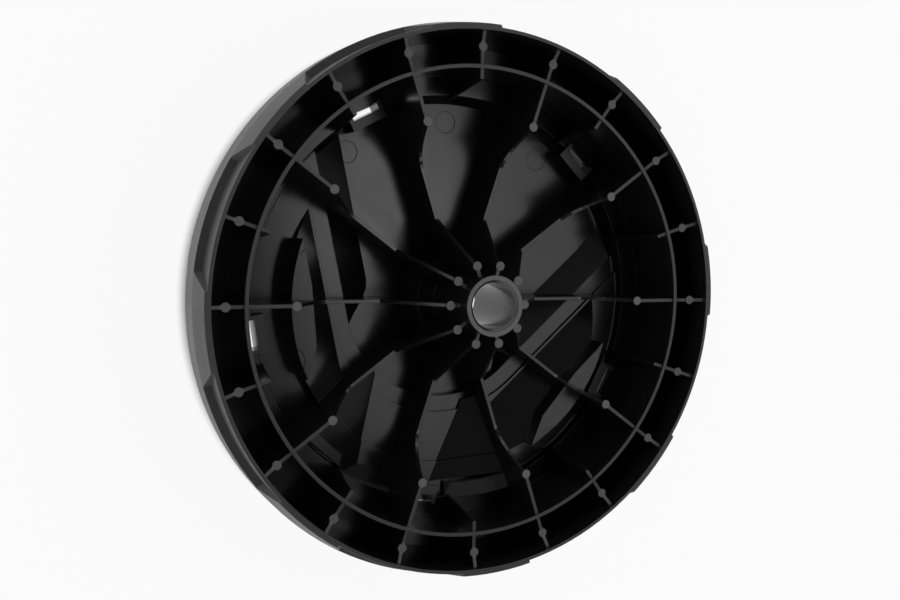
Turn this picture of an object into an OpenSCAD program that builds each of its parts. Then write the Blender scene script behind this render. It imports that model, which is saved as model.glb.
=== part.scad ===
// Wheel for a pressure washer, moulded in one piece in black plastic.
// It lies on its front face with the open, ribbed back up, and its axle runs along Z.
// Z = 0 is the front face of the disc. All sizes are in millimetres.

/* [Tread] */
// Diameter over the middle band of the tread
wheel_d = 245.6; // [240:0.2:270]
// Width of the tread, from its front edge to its back edge
tread_w = 43.4; // [38:0.2:56]
// Height of the band and the blocks over the smooth rim
relief = 3.4; // [1.5:0.1:5]
// Width of the band that runs all the way round
band_w = 14.5; // [8:0.5:20]
// Number of blocks along each edge of the tread
block_count = 8; // [6:1:12]
// Angle of the first block on the back edge, from the X axis
block_start = 4.6; // [-22:0.1:22]
// Angle that a block covers at the edge of the tread
block_angle = 15.6; // [8:0.2:20]
// Angle that each end of a block gains on its way to the band
block_flare = 3.6; // [0:0.2:4.5]
// How much lower a block is at the edge of the tread than at the band
block_drop = 2.3; // [0.5:0.1:3]
// Slant of the band's sides, measured along the axle
band_slant = 1.2; // [0:0.1:3]
// Level stretch of each block beside the band
block_level = 0.4; // [0.2:0.1:2]
// Rounding of the tread's front corner
shoulder_r = 2.2; // [0.5:0.1:2.4]
// Rounding of the recesses' corner at the tread's back edge
back_corner_r = 0.4; // [0.2:0.1:1.2]

/* [Rim] */
// Wall of the rim at its back edge
rim_wall = 1.6; // [1.2:0.1:3]
// How much the rim narrows inside, from its back edge to its floor
rim_draft = 1.3; // [0:0.1:3]
// Wall of the lip under the tread's front corner
lip_wall = 2.8; // [2.4:0.1:5]

/* [Disc] */
// Radius of the flat floor inside
floor_r = 90.2; // [84:0.2:94]
// Thickness of the disc
disc_t = 2.4; // [1.8:0.1:4]
// How far the tread's front edge stands back from the front face
tread_setback = 4; // [2:0.2:7]
// Step up from the flat floor to the floor beside the rim
step_h = 8.3; // [6:0.1:12]
// Radius that the step's slanting wall gains
step_run = 3.3; // [0:0.1:6]
// Rounding of the front face at the step
front_edge_r = 1.6; // [0.4:0.1:2.2]

/* [Raised pattern of the disc] */
// Direction in which the pattern's round end points, from the X axis
pattern_angle = 252; // [248:0.5:256]
// How far the pattern's steps stand off the axle's line, sideways
pattern_shift = -2.3; // [-4:0.1:4]
// Radius of the first step's round end
pattern_r = 47; // [44:0.2:52]
// Angle over which the round end runs on each side, before the straight legs
pattern_turn = 60; // [54:0.5:66]
// Distance of the second step from the first
pattern_band = 7.3; // [5:0.1:9]
// Height of the first step over the flat floor
pattern_h = 4; // [2:0.1:5]
// Height of the second and of the third step
terrace_h = 1.2; // [0.6:0.1:1.6]
// Radius of the third step, under the round end
terrace_r = 77; // [70:0.2:80]
// Angle at which the floor rises beside each leg
slope_rise = 22.8; // [16:0.2:26]
// Radius to which the rising floor reaches
slope_r = 78.4; // [76:0.1:78.6]
// Height of the two raised plateaus over the front face
plateau_top = 24; // [23:0.1:27]
// Radius of the plateaus' outer edge
plateau_r = 79; // [78.8:0.1:81]
// Radius of the two corners of a plateau's inner edge
plateau_in_r = 70.3; // [67:0.1:73]
// Angles of a plateau's two tips, from the pattern's middle line
plateau_from = 46.6; // [44:0.1:49]
plateau_to = 92.3; // [89:0.1:95]
// Angles of the two corners of its inner edge
plateau_bend_from = 56.4; // [54:0.1:60]
plateau_bend_to = 77.7; // [74:0.1:81]

/* [Hub] */
// Diameter of the axle bore
bore_d = 20.2; // [16:0.1:22]
// Outside diameter of the hub tube
tube_d = 26.2; // [24:0.1:30]
// Height of the hub tube's end over the front face
tube_top = 59.7; // [55:0.1:70]
// Chamfer of the bore at the hub tube's end
bore_chamfer = 1.1; // [0.2:0.1:1.8]
// Diameter of the boss that carries the hub tube
boss_d = 41; // [38:0.2:46]
// Height of the boss over the front face
boss_top = 21.8; // [16:0.1:26]
// Wall of the boss round and over its front recess
boss_wall = 2.6; // [2:0.1:4]

/* [Ribs] */
// Number of long ribs, and of short ribs between them
rib_pairs = 10; // [8:1:12]
// Thickness of the ribs
rib_t = 1.5; // [1.2:0.1:3]
// Height of the ribs' outer stretch over the front face
rib_top = 42.6; // [36:0.1:46]
// Height of the ribs where they meet the rim
rib_end_top = 44.8; // [38:0.1:47]
// Height of the long ribs' low stretch
rib_low = 22.4; // [14:0.1:34]
// Radius where the low stretch starts
low_from = 38.5; // [34:0.5:46]
// Radius where the low stretch ends and the rib starts to rise
low_to = 62; // [52:0.5:66]
// Radius where a long rib is back at its full height
rise_end = 81.3; // [76:0.1:90]
// Length of the slope over which the rising edge bends, as a radius
rise_bend = 8; // [2:0.5:10]
// Distance of the round rib from the rim
ring_gap = 15; // [11:0.2:17]
// Thickness of the round rib
ring_t = 1.6; // [1.2:0.1:3]
// Height of the round rib over the front face
ring_top = 43.6; // [38:0.1:46]
// How far the short ribs reach inwards past the round rib, at the top
short_reach = 5.4; // [3:0.1:6]
// Height over the front face at which a short rib's inner edge meets the step
short_foot = 5.4; // [3:0.1:9]

/* [Ejector pads] */
// Diameter of the round pads on the ribs
pad_d = 4; // [3:0.1:6]
// Height of the pads over their rib
pad_h = 0.5; // [0.2:0.1:1.5]
// Distance of the outer row of pads from the rim
pad_rim_gap = 6.5; // [4:0.1:9]
// Radius of the middle row of pads
pad_mid_r = 81.9; // [81:0.1:94]
// Radius of the row of pads beside the hub
pad_hub_r = 17.6; // [16:0.1:22]
// Height of the long ribs at the pads beside the hub
pad_hub_top = 52.4; // [46:0.1:54]
// Diameter of the round marks on the floor
mark_d = 10; // [6:0.5:14]
// Depth of the round marks on the floor
mark_depth = 0.3; // [0.1:0.1:0.6]
// Radius of the row of round marks
mark_r = 81.8; // [76:0.2:83]

/* [Cover clips] */
// Number of slots for the hooks of a wheel cover
clip_count = 5; // [3:1:5]
// Angle of the first slot, from the X axis
clip_angle = 45.1; // [41:0.1:49]
// Width of a slot's frame
clip_w = 17.2; // [14:0.2:20]
// Height of a slot's frame over the front face
clip_top = 12.2; // [11.6:0.1:16]
// Radius of the frame's inner face
clip_r = 88; // [86:0.2:89]
// Thickness of the frame's bar, along the radius
clip_bar = 4.3; // [3:0.1:5]
// Length of the frame's two arms
clip_arm = 3.9; // [2:0.1:5]
// Width of each arm
clip_arm_w = 2; // [1.2:0.1:3]
// Width of a slot, along the radius
slot_w = 3.2; // [2:0.1:4]

/* [Hidden] */
$fn = 144;
plastic = [0.09, 0.09, 0.09];
eps = 0.05;

band_r = wheel_d / 2;
edge_r = band_r - block_drop;
rim_r = band_r - relief;
rim_in_r = rim_r - rim_wall;
rim_mid_r = rim_r - rim_wall / 2;
rim_foot_r = rim_in_r - rim_draft;
rim_top = tread_setback + tread_w;
tread_mid = tread_setback + tread_w / 2;
tread_half = tread_w / 2;
band_half = band_w / 2;
block_pitch = 360 / block_count;
side_floor = disc_t + step_h;
side_under = side_floor - disc_t;
step_r = floor_r + step_run;
step_out = disc_t * tan(atan2(step_h, step_run) / 2);
recess_r = boss_d / 2 - boss_wall;
recess_top = boss_top - boss_wall;
rib_pitch = 360 / rib_pairs;
ring_r = rim_in_r - ring_gap;
level_1 = disc_t + pattern_h;
level_2 = level_1 + terrace_h;
level_3 = level_2 + terrace_h;
pad_outer_r = rim_in_r - pad_rim_gap;

// Points of the rounded corner of radius r at p, between its neighbours a and b
function fillet(a, p, b, r, steps = 8) =
    let (u = (a - p) / norm(a - p), v = (b - p) / norm(b - p), half = acos(u * v) / 2)
    let (c = p + (u + v) / norm(u + v) * r / sin(half), d = r / tan(half))
    let (s = p + u * d - c, e = p + v * d - c, turn = atan2(s.x * e.y - s.y * e.x, s * e))
    [for (i = [0 : steps]) let (t = turn * i / steps) c + [s.x * cos(t) - s.y * sin(t), s.x * sin(t) + s.y * cos(t)]];

// Points of a smooth curve from a to b that leaves a towards p and reaches b coming from p
function bend(a, p, b, steps = 10) =
    [for (i = [0 : steps]) let (t = i / steps) a * pow(1 - t, 2) + p * 2 * t * (1 - t) + b * pow(t, 2)];

// Tread as one full ring, rim, floor beside the rim, step and flat disc, in one revolved section
module shell() {
    front_corner = [floor_r + step_out, 0];
    under_corner = [step_r + step_out, side_under];
    lip_corner = [rim_r - lip_wall, tread_setback];
    shoulder = [edge_r, tread_setback];
    level_half = band_half + block_level;
    level_front = [band_r, tread_mid - level_half];
    rotate_extrude()
        polygon(concat(
            [[0, 0]],
            fillet([0, 0], front_corner, under_corner, front_edge_r),
            [under_corner, [rim_r - lip_wall, side_under], lip_corner],
            fillet(lip_corner, shoulder, level_front, shoulder_r),
            [level_front, [band_r, tread_mid + level_half], [edge_r, rim_top]],
            [[rim_in_r, rim_top], [rim_foot_r, side_floor]],
            [[step_r, side_floor], [floor_r, disc_t], [0, disc_t]]
        ));
}

// Points of an arc of radius r round the origin, from angle a to angle b
function arc(r, a, b, steps) =
    [for (i = [0 : steps]) let (t = a + (b - a) * i / steps) r * [cos(t), sin(t)]];

// Radius of the middle of the slanting step's wall, at height z
function step_mid_r(z) = floor_r + step_out / 2 + (z - disc_t / 2) * step_run / step_h;

// Area that a step leaves low: a round end of radius r and two straight legs that open away from it
module low_area(r) {
    leg = wheel_d;
    end = arc(r, -pattern_turn, pattern_turn, 30);
    far = [r * cos(pattern_turn) - leg * sin(pattern_turn), r * sin(pattern_turn) + leg * cos(pattern_turn)];
    translate([0, pattern_shift, -1])
        linear_extrude(rib_top)
            polygon(concat([[far.x, -far.y]], end, [far]));
}

// Disc from height z to height top, up to the middle of the slanting step's wall
module high_floor(z, top) {
    rotate_extrude()
        polygon([[0, z], [step_mid_r(z), z], [step_mid_r(top), top], [0, top]]);
}

// Sector between the angles a and b, taller than the disc's relief
module sector(a, b) {
    translate([0, 0, -1])
        linear_extrude(rib_top)
            polygon(concat([[0, 0]], arc(wheel_d, a, b, 6)));
}

// The three steps of the floor, the last of them only between the two ribs beside the round end
module steps() {
    difference() {
        high_floor(disc_t / 2, level_1);
        low_area(pattern_r);
    }
    difference() {
        high_floor(disc_t / 2, level_2);
        low_area(pattern_r + pattern_band);
    }
    difference() {
        intersection() {
            high_floor(disc_t / 2, level_3);
            sector(-rib_pitch, rib_pitch);
        }
        translate([0, 0, -1])
            cylinder(r = terrace_r, h = rib_top);
    }
}

// Floor that rises beside a leg, its upper face lowered by drop and its edges drawn in by inset
module slope(drop, inset, low, shift) {
    start = pattern_r + pattern_band + 1;
    reach = 40;
    back = 0.6;
    intersection() {
        translate([0, shift, 0])
            rotate([0, 0, pattern_turn])
                rotate([90, 0, 0])
                    translate([0, 0, -wheel_d / 2])
                        linear_extrude(wheel_d)
                            polygon([[start - back + inset, low],
                                [start - back + inset, level_2 - drop + (inset - back) * tan(slope_rise)],
                                [start + reach, level_2 - drop + reach * tan(slope_rise)], [start + reach, low]]);
        translate([0, 0, low])
            cylinder(r = slope_r - inset, h = rib_top);
        rotate([0, 0, inset * 0.9])
            sector(rib_pitch, rib_pitch + 100);
    }
}

// Raised plateau, with an arc outside and three straight edges inside, drawn in by inset
module plateau(low, top, inset) {
    turn = inset * 2;
    bend_in = plateau_in_r + inset;
    translate([0, 0, low])
        linear_extrude(top - low)
            polygon(concat(
                arc(plateau_r - inset, plateau_from + turn, plateau_to - turn, 20),
                [bend_in * [cos(plateau_bend_to - inset / 2), sin(plateau_bend_to - inset / 2)],
                    bend_in * [cos(plateau_bend_from + inset / 2), sin(plateau_bend_from + inset / 2)]]
            ));
}

// Both slopes and plateaus, one of each on either side of the pattern's middle line
module slopes_and_plateaus(drop, inset, low) {
    for (side = [0, 1])
        mirror([0, side, 0]) {
            slope(drop / cos(slope_rise), inset, low, side == 0 ? pattern_shift : -pattern_shift);
            plateau(low, plateau_top - drop, inset);
        }
}

// Hollow under a step, seen from the front, with a wall as thick as the disc
module step_hollow(top, r) {
    difference() {
        translate([0, 0, -eps])
            cylinder(r = floor_r - disc_t, h = top - disc_t + eps);
        low_area(r + disc_t);
    }
}

// Raised pattern of the disc, as it stands up inside the wheel
module pattern() {
    rotate([0, 0, pattern_angle]) {
        steps();
        slopes_and_plateaus(0, 0, disc_t / 2);
    }
}

// What the raised pattern leaves open on the front side
module pattern_hollow() {
    rotate([0, 0, pattern_angle]) {
        step_hollow(level_1, pattern_r);
        step_hollow(level_2, pattern_r + pattern_band);
        slopes_and_plateaus(disc_t, disc_t, -eps);
    }
}

// Ring that is cut away beside the band down to the rim, its outer corner rounded by corner_r
module recess_ring(corner_r) {
    rotate_extrude()
        polygon(concat(
            [[band_r + 1, band_half - band_slant / relief], [rim_r, band_half + band_slant]],
            fillet([rim_r, band_half + band_slant], [rim_r, tread_half], [0, tread_half], corner_r),
            [[rim_r - corner_r, tread_half + 1], [band_r + 1, tread_half + 1]]
        ));
}

// Wedge that spares one block, centred on the X axis, with the slant of the block's ends
module block_wedge() {
    root = (block_angle / 2 + block_flare) * PI / 180 * rim_r;
    tip = block_angle / 2 * PI / 180 * rim_r;
    past = 2;
    end = tip - past * (root - tip) / (tread_half - band_half);
    rotate([90, 0, 90])
        linear_extrude(wheel_d)
            polygon([[-root, 0], [root, 0], [root, band_half],
                [end, tread_half + past], [-end, tread_half + past], [-root, band_half]]);
}

// The recesses between the blocks of one edge, measured from the middle of the tread
module recesses(corner_r) {
    difference() {
        recess_ring(corner_r);
        for (i = [0 : block_count - 1])
            rotate([0, 0, i * block_pitch])
                block_wedge();
    }
}

// Recesses on the back edge, and on the front edge with its blocks between those of the back
module tread_cuts() {
    translate([0, 0, tread_mid]) {
        rotate([0, 0, block_start])
            recesses(back_corner_r);
        rotate([0, 0, block_start + block_pitch / 2])
            mirror([0, 0, 1])
                recesses(shoulder_r);
    }
}

// Boss and tube of the hub, still without their bore
module hub() {
    cylinder(d = boss_d, h = boss_top);
    cylinder(d = tube_d, h = tube_top);
}

// Bore, its chamfer and the front recess in the boss
module hub_hollow() {
    translate([0, 0, -eps])
        cylinder(r = recess_r, h = recess_top + eps);
    cylinder(d = bore_d, h = tube_top + eps);
    translate([0, 0, tube_top - bore_chamfer])
        cylinder(d1 = bore_d, d2 = bore_d + 2 * bore_chamfer + 2 * eps, h = bore_chamfer + eps);
}

// Upright plate along the radius, drawn as [radius, height] points
module plate(points, t = rib_t) {
    rotate([90, 0, 0])
        translate([0, 0, -t / 2])
            linear_extrude(t)
                polygon(points);
}

// Foot line of every rib, inside the floor beside the rim, from the rim to the step
side_foot = [[rim_mid_r, side_floor - disc_t / 2], [step_r + step_out / 2, side_floor - disc_t / 2]];

// Top line of every rib, from the outer pad to the rim
end_top = [[pad_outer_r, rib_top], [rim_mid_r, rib_end_top]];

// Long rib, from the hub tube to the rim, with its low stretch between the two pads
module long_rib() {
    boss_mid = boss_d / 2 - boss_wall / 2;
    tube_skin = tube_d / 2 - 1;
    plate(concat(
        side_foot,
        [[floor_r + step_out / 2, disc_t / 2], [boss_mid, disc_t / 2]],
        [[boss_mid, boss_top - boss_wall / 2], [tube_skin, boss_top - boss_wall / 2]],
        [[tube_skin, pad_hub_top], [pad_hub_r, pad_hub_top], [low_from, rib_low]],
        bend([low_to, rib_low], [low_to + rise_bend, rib_low], [rise_end, rib_top]),
        end_top
    ));
}

// Short rib, between the step and the rim
module short_rib() {
    foot = [floor_r + (short_foot - disc_t) * step_run / step_h, short_foot];
    plate(concat(
        side_foot,
        [foot + [step_out / 2, -disc_t / 2], foot, [ring_r - short_reach, rib_top]],
        end_top
    ));
}

// Round rib that ties all the ribs together
module ring() {
    rotate_extrude()
        translate([ring_r - ring_t / 2, side_floor - disc_t / 2])
            square([ring_t, ring_top - side_floor + disc_t / 2]);
}

// Round pad that an ejector pin leaves on a rib, at radius r and height z
module pad(r, z) {
    translate([r, 0, z - pad_h])
        cylinder(d = pad_d, h = 2 * pad_h);
}

module ribs() {
    ring();
    for (i = [0 : rib_pairs - 1]) {
        rotate([0, 0, i * rib_pitch]) {
            long_rib();
            pad(pad_hub_r, pad_hub_top);
            pad(pad_mid_r, rib_top);
            pad(pad_outer_r, rib_top);
        }
        rotate([0, 0, (i + 0.5) * rib_pitch]) {
            short_rib();
            pad(pad_outer_r, rib_top);
        }
    }
}

// Frame round one cover slot: a bar on the flat floor and two arms that reach outwards
module clip_frame() {
    translate([clip_r, -clip_w / 2, disc_t / 2])
        cube([clip_bar, clip_w, clip_top - disc_t / 2]);
    for (side = [-1, 1])
        translate([clip_r, side * (clip_w - clip_arm_w) / 2 - clip_arm_w / 2, disc_t / 2])
            cube([clip_bar + clip_arm, clip_arm_w, clip_top - disc_t / 2]);
}

// Slot between the arms, through the step and the disc
module clip_slot() {
    translate([clip_r + clip_bar, -clip_w / 2 + clip_arm_w, -eps])
        cube([slot_w, clip_w - 2 * clip_arm_w, clip_top + eps]);
}

// Height of the surface that carries the round mark at angle a
function mark_level(a) =
    let (off = abs((a - pattern_angle + 540) % 360 - 180))
    off < rib_pitch ? level_3 : off < 3 * rib_pitch ? plateau_top : disc_t;

// Round marks that ejector pins leave on the disc, between the long ribs
module floor_marks() {
    for (i = [0 : rib_pairs - 1])
        rotate([0, 0, (i + 0.5) * rib_pitch])
            translate([mark_r, 0, mark_level((i + 0.5) * rib_pitch) - mark_depth])
                cylinder(d = mark_d, h = mark_depth + eps);
}

module at_clips() {
    for (i = [0 : clip_count - 1])
        rotate([0, 0, clip_angle + i * 360 / clip_count])
            children();
}

// The whole wheel, one moulding
module wheel() {
    color(plastic)
        difference() {
            union() {
                shell();
                hub();
                ribs();
                pattern();
                at_clips() clip_frame();
            }
            tread_cuts();
            pattern_hollow();
            hub_hollow();
            floor_marks();
            at_clips() clip_slot();
        }
}

wheel();
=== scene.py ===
# %% [markdown]
# # A moulded wheel, seen from its open back
# The wheel is one injection moulding in black plastic. Its solid comes ready made as a fixed
# frame, so this lesson is about what makes such a solid look real: the finish of the plastic,
# the light that a glossy black part needs, and a camera that repeats a photograph's view.

# %% Load the wheel
import math

import bmesh
import bpy
from mathutils import Euler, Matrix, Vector


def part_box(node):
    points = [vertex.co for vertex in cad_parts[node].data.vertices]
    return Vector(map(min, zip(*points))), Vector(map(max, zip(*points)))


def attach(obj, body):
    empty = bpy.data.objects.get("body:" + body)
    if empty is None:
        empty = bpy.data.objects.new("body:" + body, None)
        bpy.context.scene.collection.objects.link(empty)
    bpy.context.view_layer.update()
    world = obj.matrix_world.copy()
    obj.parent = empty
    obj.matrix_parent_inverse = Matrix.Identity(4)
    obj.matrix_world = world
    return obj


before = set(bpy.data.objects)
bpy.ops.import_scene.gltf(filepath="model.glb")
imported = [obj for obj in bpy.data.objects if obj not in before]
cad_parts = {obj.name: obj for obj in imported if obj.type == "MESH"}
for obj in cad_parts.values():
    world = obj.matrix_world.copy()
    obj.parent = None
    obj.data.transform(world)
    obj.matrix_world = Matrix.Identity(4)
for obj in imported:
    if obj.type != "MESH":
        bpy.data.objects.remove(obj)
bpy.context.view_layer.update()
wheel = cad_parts["wheel"]
scene = bpy.context.scene
_, far_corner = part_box("wheel")
print("the wheel is", round(2 * far_corner[0], 4), "m across and", round(far_corner[2], 4), "m high")

# %% [markdown]
# ## The camera
# The photograph was taken from close by, a little to the left of the wheel's axis, so the hub
# tube leans to the right and the tread shows on the left. A long lens from far away would lose
# that. The place and the angles below were solved from the circles and the evenly spaced ribs.

# %% Camera
MM = 0.001
CAMERA_AT = Vector((-203.2, 35.4, 479.0)) * MM
CAMERA_TURN = (-4.458, -23.423, 1.0)
LENS = 43.95
SENSOR = 36.0
NEAREST = 0.01
FARTHEST = 20.0


def photo_camera():
    """The camera at the photograph's place, with the photograph's field of view."""
    data = bpy.data.cameras.new("photo_camera")
    data.sensor_width = SENSOR
    data.lens = LENS
    data.clip_start = NEAREST
    data.clip_end = FARTHEST
    camera = bpy.data.objects.new("photo_camera", data)
    camera.location = CAMERA_AT
    camera.rotation_euler = Euler([math.radians(turn) for turn in CAMERA_TURN])
    scene.collection.objects.link(camera)
    scene.camera = camera
    return camera


camera = photo_camera()
print("the camera stands", round(camera.location.length, 3), "m from the wheel")

# %% [markdown]
# ## Small helpers for materials
# A material is a graph of nodes. Short helpers keep the rest readable. They add a node, join two
# sockets, feed a socket with whatever comes, work out a sum, lay one thing over another by a mask,
# turn a mask round, and wrap a graph in a named group that can be placed again with other values.

# %% Node helpers
MIX_SOCKETS = {"FLOAT": (2, 3, 0), "RGBA": (6, 7, 2)}


def node(tree, kind, values=None, **settings):
    """A new node of that kind, with its settings and the values of its input sockets."""
    made = tree.nodes.new("ShaderNode" + kind)
    for name, value in settings.items():
        setattr(made, name, value)
    for name, value in (values or {}).items():
        made.inputs[name].default_value = value
    return made


def join(tree, start, end):
    """A link from an output socket to an input socket."""
    tree.links.new(start, end)


def feed(tree, value, slot):
    """An input socket gets a link from another socket, or a plain colour or number."""
    if isinstance(value, bpy.types.NodeSocket):
        join(tree, value, slot)
    elif isinstance(value, tuple):
        slot.default_value = (*value, 1.0)
    else:
        slot.default_value = value


def math_node(tree, operation, first, second=0.0):
    """The result of a sum on two numbers, each a socket or a plain number."""
    made = node(tree, "Math", operation=operation)
    feed(tree, first, made.inputs[0])
    feed(tree, second, made.inputs[1])
    return made.outputs[0]


def inverse(tree, mask):
    """A mask that is 1 where another is 0, and 0 where it is 1."""
    return math_node(tree, "SUBTRACT", 1.0, mask)


def mix(tree, kind, share, under, over):
    """One colour or number laid over another, by a mask from 0 to 1."""
    made = node(tree, "Mix", data_type=kind)
    first, second, result = MIX_SOCKETS[kind]
    join(tree, share, made.inputs[0])
    feed(tree, under, made.inputs[first])
    feed(tree, over, made.inputs[second])
    return made.outputs[result]


def new_group(name, inputs, outputs):
    """An empty node group, its input node and its output node."""
    tree = bpy.data.node_groups.new(name, "ShaderNodeTree")
    for label, (kind, value) in inputs.items():
        socket = tree.interface.new_socket(label, in_out="INPUT", socket_type="NodeSocket" + kind)
        if value is not None:
            socket.default_value = value
    for label, kind in outputs.items():
        tree.interface.new_socket(label, in_out="OUTPUT", socket_type="NodeSocket" + kind)
    return tree, tree.nodes.new("NodeGroupInput"), tree.nodes.new("NodeGroupOutput")


def place(tree, group, values=None, **links):
    """A node that holds a group, with its values set and its inputs linked."""
    made = tree.nodes.new("ShaderNodeGroup")
    made.node_tree = group
    for name, value in (values or {}).items():
        made.inputs[name].default_value = value
    for name, socket in links.items():
        join(tree, socket, made.inputs[name])
    return made


print("helpers ready")

# %% [markdown]
# ## Where a point lies on the wheel
# One moulding has several finishes, because the mould has: the tread is spark eroded and matt,
# the inside is polished, the edges that a cutter left are a little rougher. Each finish keeps to
# its own distance from the axle and its own height, so the first group turns a place in space
# into those two numbers, in millimetres. It works for any view, as it rides on the wheel. The
# second group turns a number into a mask with a soft edge.

# %% Place on the wheel
def make_place_group():
    """Distance from the axle and height above the front face, in millimetres."""
    tree, into, out = new_group("place on the wheel", {"Position": ("Vector", None)},
                                {"Radius": "Float", "Height": "Float"})
    split = node(tree, "SeparateXYZ")
    join(tree, into.outputs["Position"], split.inputs[0])
    x2 = math_node(tree, "MULTIPLY", split.outputs["X"], split.outputs["X"])
    y2 = math_node(tree, "MULTIPLY", split.outputs["Y"], split.outputs["Y"])
    radius = math_node(tree, "SQRT", math_node(tree, "ADD", x2, y2))
    join(tree, math_node(tree, "MULTIPLY", radius, 1.0 / MM), out.inputs["Radius"])
    join(tree, math_node(tree, "MULTIPLY", split.outputs["Z"], 1.0 / MM), out.inputs["Height"])
    return tree


def make_step_group():
    """A mask that goes from 0 to 1 as a value passes an edge, over a given width."""
    tree, into, out = new_group("soft edge", {"Value": ("Float", 0.0), "Edge": ("Float", 0.0),
                                              "Width": ("Float", 1.0)}, {"Mask": "Float"})
    past = math_node(tree, "SUBTRACT", into.outputs["Value"], into.outputs["Edge"])
    share = math_node(tree, "DIVIDE", past, into.outputs["Width"])
    ramp = node(tree, "MapRange", {"From Min": -0.5, "From Max": 0.5}, interpolation_type="SMOOTHSTEP")
    join(tree, share, ramp.inputs["Value"])
    join(tree, ramp.outputs["Result"], out.inputs["Mask"])
    return tree


PLACE = make_place_group()
SOFT_EDGE = make_step_group()
print("groups:", PLACE.name, "and", SOFT_EDGE.name)

# %% [markdown]
# ## Grain, flow marks and rounded edges
# The tread's grain is a fine leather of pits. Noise at two sizes gives it, one as height and one
# as a slight change of colour. Flow marks are the faint clouds that the melt leaves on a polished
# wall. Noise that is stretched from the hub outwards gives them. No moulded edge is truly sharp:
# the Bevel node looks at the faces around a point and bends the normal near an edge, as a radius
# of a few tenths of a millimetre would, and the angle that it bends by is a good edge mask.

# %% Grain, flow and edges
PATCH_TIMES = 9.0
FLOW_SPREAD = 0.06
EDGE_RADIUS = 0.35 * MM


def make_grain_group():
    """Pits of a given size in millimetres: a height from 0 to 1 and a mask of coarser patches."""
    tree, into, out = new_group("eroded grain", {"Position": ("Vector", None), "Size": ("Float", 0.5)},
                                {"Height": "Float", "Patches": "Float"})
    per_metre = math_node(tree, "DIVIDE", 1.0 / MM, into.outputs["Size"])
    fine = node(tree, "TexNoise", {"Detail": 3.0, "Roughness": 0.6})
    coarse = node(tree, "TexNoise", {"Detail": 2.0, "Roughness": 0.5})
    join(tree, into.outputs["Position"], fine.inputs["Vector"])
    join(tree, into.outputs["Position"], coarse.inputs["Vector"])
    join(tree, per_metre, fine.inputs["Scale"])
    join(tree, math_node(tree, "DIVIDE", per_metre, PATCH_TIMES), coarse.inputs["Scale"])
    join(tree, fine.outputs[0], out.inputs["Height"])
    join(tree, coarse.outputs[0], out.inputs["Patches"])
    return tree


def make_flow_group():
    """Clouds that run out from the hub: a mask from 0 to 1."""
    tree, into, out = new_group("flow marks", {"Position": ("Vector", None), "Stretch": ("Float", 3.0),
                                               "Scale": ("Float", 40.0)}, {"Clouds": "Float"})
    split = node(tree, "SeparateXYZ")
    join(tree, into.outputs["Position"], split.inputs[0])
    turn = math_node(tree, "ARCTAN2", split.outputs["Y"], split.outputs["X"])
    length = node(tree, "VectorMath", operation="LENGTH")
    join(tree, into.outputs["Position"], length.inputs[0])
    outwards = math_node(tree, "DIVIDE", length.outputs["Value"], into.outputs["Stretch"])
    stretched = node(tree, "CombineXYZ")
    join(tree, math_node(tree, "MULTIPLY", turn, FLOW_SPREAD), stretched.inputs["X"])
    join(tree, outwards, stretched.inputs["Y"])
    join(tree, split.outputs["Z"], stretched.inputs["Z"])
    clouds = node(tree, "TexNoise", {"Detail": 4.0, "Roughness": 0.55, "Distortion": 0.4})
    join(tree, stretched.outputs[0], clouds.inputs["Vector"])
    join(tree, into.outputs["Scale"], clouds.inputs["Scale"])
    join(tree, clouds.outputs[0], out.inputs["Clouds"])
    return tree


def make_edge_group():
    """The normal with its edges rounded, and a mask that is 1 on the edge itself."""
    tree, into, out = new_group("rounded edges", {"Bend": ("Float", 0.35)},
                                {"Normal": "Vector", "Edge": "Float"})
    bent = node(tree, "Bevel", {"Radius": EDGE_RADIUS}, samples=4)
    plain = node(tree, "NewGeometry")
    across = node(tree, "VectorMath", operation="DOT_PRODUCT")
    join(tree, bent.outputs["Normal"], across.inputs[0])
    join(tree, plain.outputs["Normal"], across.inputs[1])
    ramp = node(tree, "MapRange", interpolation_type="SMOOTHSTEP")
    join(tree, inverse(tree, across.outputs["Value"]), ramp.inputs["Value"])
    join(tree, into.outputs["Bend"], ramp.inputs["From Max"])
    join(tree, bent.outputs["Normal"], out.inputs["Normal"])
    join(tree, ramp.outputs["Result"], out.inputs["Edge"])
    return tree


GRAIN = make_grain_group()
FLOW = make_flow_group()
ROUND_EDGES = make_edge_group()
print("groups:", GRAIN.name, FLOW.name, ROUND_EDGES.name)

# %% [markdown]
# ## The black plastic
# Polypropylene with carbon black is nearly without colour: what the eye sees is the light that it
# mirrors. So the colours below are very dark and close to each other, and roughness does most of
# the work. The polished inside is the ground. The matt tread and front, the cut tops, the ejector
# pads with the hub's end, the bore and the rounded edges are laid over it, one after another. The
# tops, the pads and the edges are painted lighter as a painted highlight, and the bore is painted
# lighter as a painted reflection.

# %% Finishes of the plastic, some with painted light
# Roughness is each zone's real finish. The lighter colours of the tops, pads and edges are painted
# highlights, and the bore's is a painted reflection.
FINISHES_AND_PAINTED_LIGHT = {
    "inside": {"color": (0.0050, 0.0050, 0.0050), "rough": 0.20},
    "tread": {"color": (0.0340, 0.0372, 0.0340), "rough": 0.48},
    "tops_and_painted_highlight": {"color": (0.0350, 0.0355, 0.0350), "rough": 0.34},
    "pads": {"color": (0.1050, 0.1060, 0.1050), "rough": 0.50},
    "bore": {"color": (0.0400, 0.0420, 0.0410), "rough": 0.16},
    "edges": {"color": (0.0120, 0.0120, 0.0120), "rough": 0.30},
}
print("finishes:", ", ".join(FINISHES_AND_PAINTED_LIGHT))
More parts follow.
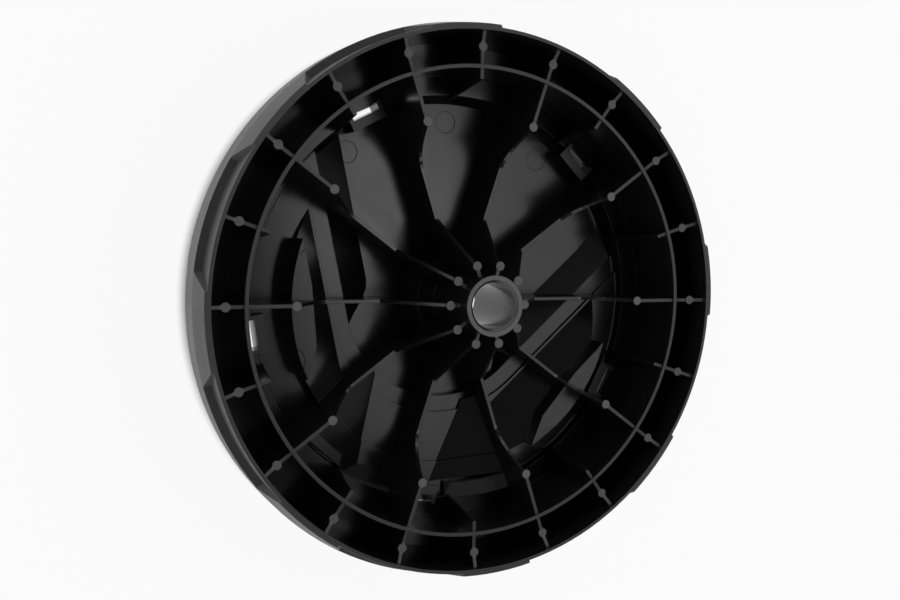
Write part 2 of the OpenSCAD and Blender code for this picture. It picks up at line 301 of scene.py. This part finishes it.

# %% [markdown]
# ## Where each finish and painted highlight lies
# On the real wheel the finishes meet at the mould's own edges. A material for each of them would
# need the mesh cut up there. Masks leave it whole: a zone is what lies past a radius or a height,
# or what faces up or down. Where two numbers stand for one edge, the second is the width over
# which the mask changes. The bars of the clip frames are cut faces that lie low and far out, so
# they take a height and a radius together.

# %% Masks of the zones
FACES_UP = (0.86, 0.1)
FACES_DOWN = (0.4, 0.2)
TREAD_FROM = 118.6
TOPS_FROM = 27.0
TOPS_WIDTH = 2.0
BARS_FROM = 11.6
BARS_R = 87.0
PAD_RADII = (17.6, 81.9, 111.3)
PAD_REACH = 2.4
HUB_END_R = 13.4
BORE_R = 10.25
BORE_WIDTH = 0.1


def mask_past(tree, value, edge, width=0.4):
    """A mask that is 1 where a value is past an edge."""
    return place(tree, SOFT_EDGE, {"Edge": edge, "Width": width}, Value=value).outputs["Mask"]


def zone_masks(tree, spot, up):
    """The masks of the finishes and of the painted light, worked out from the place on the wheel and the
    slope.
    """
    radius, height = spot.outputs["Radius"], spot.outputs["Height"]
    faces_up = mask_past(tree, up, *FACES_UP)
    faces_down = mask_past(tree, math_node(tree, "MULTIPLY", up, -1.0), *FACES_DOWN)
    tread = math_node(tree, "MAXIMUM", mask_past(tree, radius, TREAD_FROM), faces_down)
    bars = math_node(tree, "MULTIPLY", mask_past(tree, height, BARS_FROM), mask_past(tree, radius, BARS_R))
    high_up = math_node(tree, "MAXIMUM", mask_past(tree, height, TOPS_FROM, TOPS_WIDTH), bars)
    # The tops are the high faces that point up: rougher as cut, and painted lighter as a painted
    # highlight.
    tops_and_painted_highlight = math_node(tree, "MULTIPLY", faces_up, high_up)
    # The ejector pads and the hub's end on the tops are matt, and are painted lighter still as a painted
    # highlight.
    pads = inverse(tree, mask_past(tree, radius, HUB_END_R))
    for pad_r in PAD_RADII:
        gap = math_node(tree, "ABSOLUTE", math_node(tree, "SUBTRACT", radius, pad_r))
        pads = math_node(tree, "MAXIMUM", pads, inverse(tree, mask_past(tree, gap, PAD_REACH)))
    pads = math_node(tree, "MULTIPLY", pads, tops_and_painted_highlight)
    # The bore is smoother, and is painted lighter as a painted reflection.
    bore = inverse(tree, mask_past(tree, radius, BORE_R, BORE_WIDTH))
    return {"tread": tread, "tops_and_painted_highlight": tops_and_painted_highlight, "pads": pads, "bore": bore}


print("the tread starts", TREAD_FROM, "mm from the axle's line and the bore ends at", BORE_R, "mm")

# %% [markdown]
# ## One shader for all zones
# The masks choose colour and roughness. Roughness also drifts a little with the flow marks, and
# the tread's colour with the patches of its grain, because no moulded face is quite even. Pits as
# shallow as these could be real dents in a very fine mesh. A bump looks the same at this size and
# leaves the mesh light.

# %% Black plastic
WORN_TREAD = (0.0420, 0.0450, 0.0420)
PLASTIC_IOR = 1.49
GRAIN_SIZE = 0.55
NOISE_MEAN = 0.5
ROUGH_DRIFT = 0.22
SMOOTH_PITS = 0.25
CLOUD_HEIGHT = 0.5
BUMP_STRENGTH = 0.6
BUMP_DEPTH = 0.05 * MM


def surface_height(tree, masks, pits, clouds):
    """The height for the bump: pits everywhere, deepest on the matt zones, and the clouds."""
    matt = math_node(tree, "MAXIMUM", masks["tread"], masks["tops_and_painted_highlight"])
    pits = math_node(tree, "MULTIPLY", pits, mix(tree, "FLOAT", matt, SMOOTH_PITS, 1.0))
    return math_node(tree, "ADD", pits, math_node(tree, "MULTIPLY", clouds, CLOUD_HEIGHT))


def black_plastic():
    """The whole moulding's material, with a finish for each zone and painted light on some of them."""
    material = bpy.data.materials.new("black_plastic")
    material.use_nodes = True
    tree = material.node_tree
    shader = tree.nodes["Principled BSDF"]
    shader.inputs["IOR"].default_value = PLASTIC_IOR
    where = node(tree, "TexCoord").outputs["Object"]
    spot = place(tree, PLACE, Position=where)
    slope = node(tree, "SeparateXYZ")
    join(tree, node(tree, "NewGeometry").outputs["Normal"], slope.inputs[0])
    masks = zone_masks(tree, spot, slope.outputs["Z"])
    grain = place(tree, GRAIN, {"Size": GRAIN_SIZE}, Position=where)
    clouds = place(tree, FLOW, Position=where).outputs["Clouds"]
    edges = place(tree, ROUND_EDGES)
    # The edge mask makes the rounded edges a little rougher and paints them lighter as a painted
    # highlight.
    masks["edges"] = edges.outputs["Edge"]

    color = FINISHES_AND_PAINTED_LIGHT["inside"]["color"]
    rough = FINISHES_AND_PAINTED_LIGHT["inside"]["rough"]
    # Each zone lays its colour and roughness over the inside's; the lighter colours are painted light.
    for zone, mask in masks.items():
        color = mix(tree, "RGBA", mask, color, FINISHES_AND_PAINTED_LIGHT[zone]["color"])
        rough = mix(tree, "FLOAT", mask, rough, FINISHES_AND_PAINTED_LIGHT[zone]["rough"])
    worn = math_node(tree, "MULTIPLY", masks["tread"], grain.outputs["Patches"])
    color = mix(tree, "RGBA", worn, color, WORN_TREAD)
    drift = math_node(tree, "MULTIPLY", math_node(tree, "SUBTRACT", clouds, NOISE_MEAN), ROUGH_DRIFT)
    join(tree, color, shader.inputs["Base Color"])
    join(tree, math_node(tree, "ADD", rough, drift), shader.inputs["Roughness"])

    bump = node(tree, "Bump", {"Strength": BUMP_STRENGTH, "Distance": BUMP_DEPTH})
    join(tree, surface_height(tree, masks, grain.outputs["Height"], clouds), bump.inputs["Height"])
    join(tree, edges.outputs["Normal"], bump.inputs["Normal"])
    join(tree, bump.outputs["Normal"], shader.inputs["Normal"])
    return material


wheel.data.materials.clear()
wheel.data.materials.append(black_plastic())
print("the wheel's material is", wheel.data.materials[0].name)

# %% [markdown]
# ## Faces that the low area needs
# The disc's low area is shaped like a U. Its steps are in the solid already, but on the real disc
# the floor inside each leg of the U doesn't stop at a plain wall: it climbs to the first step on a
# ramp. Beside the round end two more faces tilt up towards the ribs, and a slope closes the end at
# the rim. They show only because a tilted face mirrors another part of the room. Their points are
# given in the pattern's own millimetres, along its middle line towards the round end and across
# it, or as a run along a leg, because there the measures are plain numbers.

# %% Points on the disc
PATTERN_TURN = math.radians(252.0)
PATTERN_SHIFT = -2.3
LEG_TURN = math.radians(60.0)
U_R = 47.0
LEVELS = {"low": 2.4, "first": 6.4, "second": 7.6, "third": 8.8}
TERRACE_R = 77.0
DISC_EDGE = 90.4
RUN_STEP = 0.1


def on_disc(along, across, height):
    """A point of the disc's pattern in metres, from its own along and across in millimetres."""
    x = along * math.cos(PATTERN_TURN) - across * math.sin(PATTERN_TURN)
    y = along * math.sin(PATTERN_TURN) + across * math.cos(PATTERN_TURN)
    return (x * MM, y * MM, height * MM)


def leg_point(side, run, off):
    """Along and across of a point beside a leg: its run along the leg, its distance from the middle."""
    along = off * math.cos(LEG_TURN) - run * math.sin(LEG_TURN)
    across = side * (off * math.sin(LEG_TURN) + run * math.cos(LEG_TURN)) + PATTERN_SHIFT
    return along, across


def leg_end(side, off):
    """How far a line beside a leg runs before it meets the disc's edge."""
    run = 0.0
    while math.hypot(*leg_point(side, run, off)) < DISC_EDGE:
        run += RUN_STEP
    return run


def spread(start, end, steps):
    """Evenly spaced numbers from start to end."""
    return [start + (end - start) * i / steps for i in range(steps + 1)]


print("a leg's line ends after", round(leg_end(1, U_R), 1), "mm")

# %% [markdown]
# ## Wedges
# Each of these faces is made as a wedge that lies on the disc: two lines of points, a low one and
# a high one, with a skin between them and a body that goes down into the disc. A bare sheet would
# be less to write, but light could pass under its edge, and a plastic part has no bare sheets.
# All faces are turned outward at the end, so their order doesn't have to be minded before.

# %% Wedges
def outward(mesh):
    """All faces of a closed mesh turned to look outward."""
    shell = bmesh.new()
    shell.from_mesh(mesh)
    bmesh.ops.recalc_face_normals(shell, faces=shell.faces)
    shell.to_mesh(mesh)
    shell.free()


def wedge(name, low_line, high_line, sunk):
    """A closed wedge between two lines of points, with its underside inside the disc."""
    count = len(low_line)
    top = low_line + high_line
    under = [(x, y, sunk * MM) for x, y, _ in top]
    faces = []
    for i in range(count - 1):
        quad = (i, i + 1, count + i + 1, count + i)
        faces += [quad, tuple(2 * count + j for j in reversed(quad))]
    rim = list(range(count)) + list(range(2 * count - 1, count - 1, -1))
    for i, j in zip(rim, rim[1:] + rim[:1]):
        faces.append((j, i, 2 * count + i, 2 * count + j))
    mesh = bpy.data.meshes.new(name)
    mesh.from_pydata(top + under, [], faces)
    outward(mesh)
    piece = bpy.data.objects.new(name, mesh)
    scene.collection.objects.link(piece)
    mesh.materials.append(wheel.data.materials[0])
    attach(piece, "root")
    return piece


# %% [markdown]
# ## The ramps
# A ramp's foot starts on the U's edge at the round end and moves away from it as the leg opens.
# It moves with an ease at both ends, so that the edge of the ramp is a curve without a corner.
# Its top edge stays a hundredth or two of a millimetre off the solid's own wall and step, because
# two faces in the same place would fight over each pixel.

# %% Ramps in the legs
RAMP_FOOT = 33.5
RAMP_STARTS = -7.0
RAMP_OPEN = 13.0
RAMP_STEPS = 24
RAMP_SUNK = 1.4
WALL_GAP = 0.02
LEVEL_GAP = 0.01


def eased(share):
    """A share from 0 to 1 that starts and ends without a jerk."""
    return share * share * (3.0 - 2.0 * share)


def leg_ramp(name, side):
    """The ramp inside one leg of the U, which narrows to nothing at the round end."""
    low_line, high_line = [], []
    for share in spread(0.0, 1.0, RAMP_STEPS):
        high_run = RAMP_STARTS + share * (leg_end(side, U_R) - RAMP_STARTS)
        opened = min(1.0, (high_run - RAMP_STARTS) / (RAMP_OPEN - RAMP_STARTS))
        foot = U_R - (U_R - RAMP_FOOT) * eased(opened)
        low_run = RAMP_STARTS + share * (leg_end(side, foot) - RAMP_STARTS)
        low_line.append(on_disc(*leg_point(side, low_run, foot), LEVELS["low"]))
        high_line.append(on_disc(*leg_point(side, high_run, U_R - WALL_GAP), LEVELS["first"] - LEVEL_GAP))
    return wedge(name, low_line, high_line, RAMP_SUNK)


print("a ramp climbs", LEVELS["first"] - LEVELS["low"], "mm over", U_R - RAMP_FOOT, "mm")

# %% [markdown]
# ## The tilted faces
# Each tilted face starts at a crease that comes closer to the middle line towards the rim, and
# climbs to the long rib. It follows the floor's level, so it too takes the small step of the
# terrace, with two lines of points close together to keep that step steep. The points are found
# by their distance from the axle, because the ribs and the rim are measured from there too.

# %% Tilted faces
RIB_TURN = math.radians(36.0)
CREASE_HALF = (23.0, 18.0)
TILT_RISE = math.tan(math.radians(16.0))
TILT_FROM = U_R + 2.0
STEP_OUT = 93.8
TILT_ENDS = {"left": STEP_OUT, "right": 86.5}
TILT_STEPS = 14
TERRACE_WALL = 0.05


def crease_half(reach):
    """How far the crease lies from the pattern's middle line, at a distance from the axle."""
    share = (reach - U_R) / (DISC_EDGE - U_R)
    return CREASE_HALF[0] + share * (CREASE_HALF[1] - CREASE_HALF[0])


def tilt_height(along, across):
    """Height of a tilted face, at a place in the pattern's own millimetres."""
    reach = math.hypot(along, across)
    level = LEVELS["third"] if reach > TERRACE_R else LEVELS["second"]
    return level + max(0.0, abs(across) - crease_half(reach)) * TILT_RISE


def tilted_face(name, side, end):
    """The face beside the round end, from the crease up to the long rib."""
    reaches = spread(TILT_FROM, end, TILT_STEPS)
    reaches = sorted(reaches + [TERRACE_R - TERRACE_WALL, TERRACE_R + TERRACE_WALL])
    low_line, high_line = [], []
    for reach in reaches:
        for line, half in ((low_line, crease_half(reach)), (high_line, reach * math.sin(RIB_TURN))):
            along = math.sqrt(reach ** 2 - half ** 2)
            line.append(on_disc(along, side * half, tilt_height(along, half)))
    return wedge(name, low_line, high_line, LEVELS["first"])


print("the creases lie", 2 * CREASE_HALF[0], "mm apart at the U and", 2 * CREASE_HALF[1], "mm at the rim")

# %% [markdown]
# ## The round end at the rim
# On the left the low area ends at a straight crease, and a steeper slope climbs from it to the
# rim. On the right the clip's slot stands in the way of a face that goes all the way out, so the
# tilted face stops before it, and a second piece carries it on beside the slot.

# %% The round end
END_LINE = 84.8
END_TURN = math.radians(17.0)
END_RISE = math.tan(math.radians(22.0))
END_STEPS = 8
END_LAP = 0.1


def arc_line(side, turns, reach_at, height_at):
    """A line of points on the disc at given turns from the middle line."""
    points = []
    for turn in turns:
        reach = reach_at(turn)
        along, across = reach * math.cos(turn), reach * math.sin(turn)
        points.append(on_disc(along, side * across, height_at(along, across)))
    return points


def end_height(along, across):
    """Height of the slope that closes the round end, past its straight crease."""
    return LEVELS["third"] + (along - END_LINE) * END_RISE


def end_faces():
    """The slope that closes the round end on the left, and more of the tilted face on the right."""
    left = spread(0.0, END_TURN, END_STEPS)
    inner = arc_line(-1, left, lambda turn: END_LINE / math.cos(turn), end_height)
    outer = arc_line(-1, left, lambda turn: STEP_OUT, end_height)
    wedge("end_left", outer, inner, LEVELS["first"])
    right = spread(END_TURN, RIB_TURN, END_STEPS)
    inner = arc_line(1, right, lambda turn: TILT_ENDS["right"] - END_LAP, tilt_height)
    outer = arc_line(1, right, lambda turn: STEP_OUT, tilt_height)
    wedge("end_right", inner, outer, LEVELS["first"])


print("the low area ends", END_LINE, "mm from the axle's line")

# %% [markdown]
# ## The faces on the disc
# Left and right differ in the sign of the way across and in where the tilted face ends, so one
# loop lays both. The pieces stay separate objects with the wheel's own material, because joined
# to its mesh they could no longer be told from the solid.

# %% Faces on the disc
for side, word in ((-1, "left"), (1, "right")):
    leg_ramp("ramp_" + word, side)
    tilted_face("tilt_" + word, side, TILT_ENDS[word])
    print("laid ramp_" + word, "and tilt_" + word)
end_faces()
print("laid end_left and end_right")

# %% [markdown]
# ## The floor
# A product picture stands on white. The floor is a plain pale sheet that takes the wheel's shadow
# by its own colour. More light would make it white, but would light the wheel too. So a share of
# plain white is laid over it, for the camera and for the plastic's reflections alone. The ring
# under the rim, where wheel and floor nearly touch, keeps its full shade.

# %% Floor
FLOOR_HALF = 9.0
FLOOR_GAP = 0.2 * MM
PAPER_COLOR = (0.9, 0.9, 0.9, 1.0)
PAPER_ROUGH = 0.9
WHITE = (1.0, 1.0, 1.0, 1.0)
WHITE_SHARE = 0.92
SHADE_FROM = (94.3, 1.0)
SHADE_TO = (121.0, 6.0)


def paper():
    """Pale paper: real shade below, plain white over it for the camera and for reflections."""
    material = bpy.data.materials.new("paper")
    material.use_nodes = True
    tree = material.node_tree
    shader = tree.nodes["Principled BSDF"]
    shader.inputs["Base Color"].default_value = PAPER_COLOR
    shader.inputs["Roughness"].default_value = PAPER_ROUGH
    shader.inputs["Specular IOR Level"].default_value = 0.0
    white = node(tree, "Emission", {"Color": WHITE, "Strength": 1.0})
    path = node(tree, "LightPath")
    seen = math_node(tree, "MAXIMUM", path.outputs["Is Camera Ray"], path.outputs["Is Glossy Ray"])
    seen = math_node(tree, "MAXIMUM", seen, path.outputs["Is Transmission Ray"])
    radius = place(tree, PLACE, Position=node(tree, "TexCoord").outputs["Object"]).outputs["Radius"]
    inside = inverse(tree, mask_past(tree, radius, *SHADE_FROM))
    clear = math_node(tree, "MAXIMUM", inside, mask_past(tree, radius, *SHADE_TO))
    seen = math_node(tree, "MULTIPLY", seen, clear)
    blend = node(tree, "MixShader")
    join(tree, math_node(tree, "MULTIPLY", seen, WHITE_SHARE), blend.inputs[0])
    join(tree, shader.outputs[0], blend.inputs[1])
    join(tree, white.outputs[0], blend.inputs[2])
    join(tree, blend.outputs[0], tree.nodes["Material Output"].inputs["Surface"])
    return material


mesh = bpy.data.meshes.new("floor")
corners = [(-FLOOR_HALF, -FLOOR_HALF, 0), (FLOOR_HALF, -FLOOR_HALF, 0),
           (FLOOR_HALF, FLOOR_HALF, 0), (-FLOOR_HALF, FLOOR_HALF, 0)]
mesh.from_pydata(corners, [], [(0, 1, 2, 3)])
floor = bpy.data.objects.new("floor", mesh)
floor.location.z = -FLOOR_GAP
scene.collection.objects.link(floor)
mesh.materials.append(paper())
print("the floor is", 2 * FLOOR_HALF, "m wide")

# %% [markdown]
# ## The light
# Gloss on black shows the room. Seen from this place, every level face inside the wheel mirrors
# one window of the sky, above and to the right, and its walls mirror the floor between the ribs.
# One large softbox fills that window, so the faces light up, and the rest of the high sky stays
# dark, so the walls and the slopes stay black. A bright ring near the horizon lights the tread
# and the floor, as the walls of a light tent do.

# %% Sky
SKY_LOW = 1.6
SKY_HIGH = 0.11
SKY_FROM = 0.42
SKY_TO = 0.60


def tent_sky():
    """A sky that is bright near the horizon and dark overhead, and white for the camera."""
    world = bpy.data.worlds.new("studio")
    world.use_nodes = True
    tree = world.node_tree
    background = tree.nodes["Background"]
    background.inputs["Color"].default_value = WHITE
    split = node(tree, "SeparateXYZ")
    join(tree, node(tree, "TexCoord").outputs["Generated"], split.inputs[0])
    fall = node(tree, "MapRange", {"From Min": SKY_FROM, "From Max": SKY_TO,
                                   "To Min": SKY_LOW, "To Max": SKY_HIGH}, interpolation_type="SMOOTHSTEP")
    join(tree, split.outputs["Z"], fall.inputs["Value"])
    seen = node(tree, "LightPath").outputs["Is Camera Ray"]
    join(tree, mix(tree, "FLOAT", seen, fall.outputs["Result"], 1.0), background.inputs["Strength"])
    return world


scene.world = tent_sky()
print("the sky goes from", SKY_LOW, "to", SKY_HIGH)

# %% [markdown]
# ## The softbox
# A softbox is brightest over its bulb, which needn't hang in its middle. A picture on one lamp
# could give that, but two plain lamps are easier to set: a large round one for the even part, and
# a small one just below it, nearer to the wheel's axis, for the bright part. The standard view
# transform leaves the blacks as they come out.

# %% Softbox
LAMPS = {
    "softbox": {"hung_at": (505.0, -35.0, 1000.0), "across": 660.0, "power": 1.38},
    "hot_middle": {"hung_at": (320.0, 60.0, 995.0), "across": 260.0, "power": 0.24},
}


def round_lamp(name, hung_at, across, power):
    """A round lamp that faces straight down, with its place and width in millimetres."""
    lamp = bpy.data.lights.new(name, "AREA")
    lamp.shape = "DISK"
    lamp.size = across * MM
    lamp.energy = power
    made = bpy.data.objects.new(name, lamp)
    made.location = Vector(hung_at) * MM
    scene.collection.objects.link(made)


for name, lamp in LAMPS.items():
    round_lamp(name, **lamp)
scene.view_settings.view_transform = "Standard"
print("lamps:", ", ".join(LAMPS))
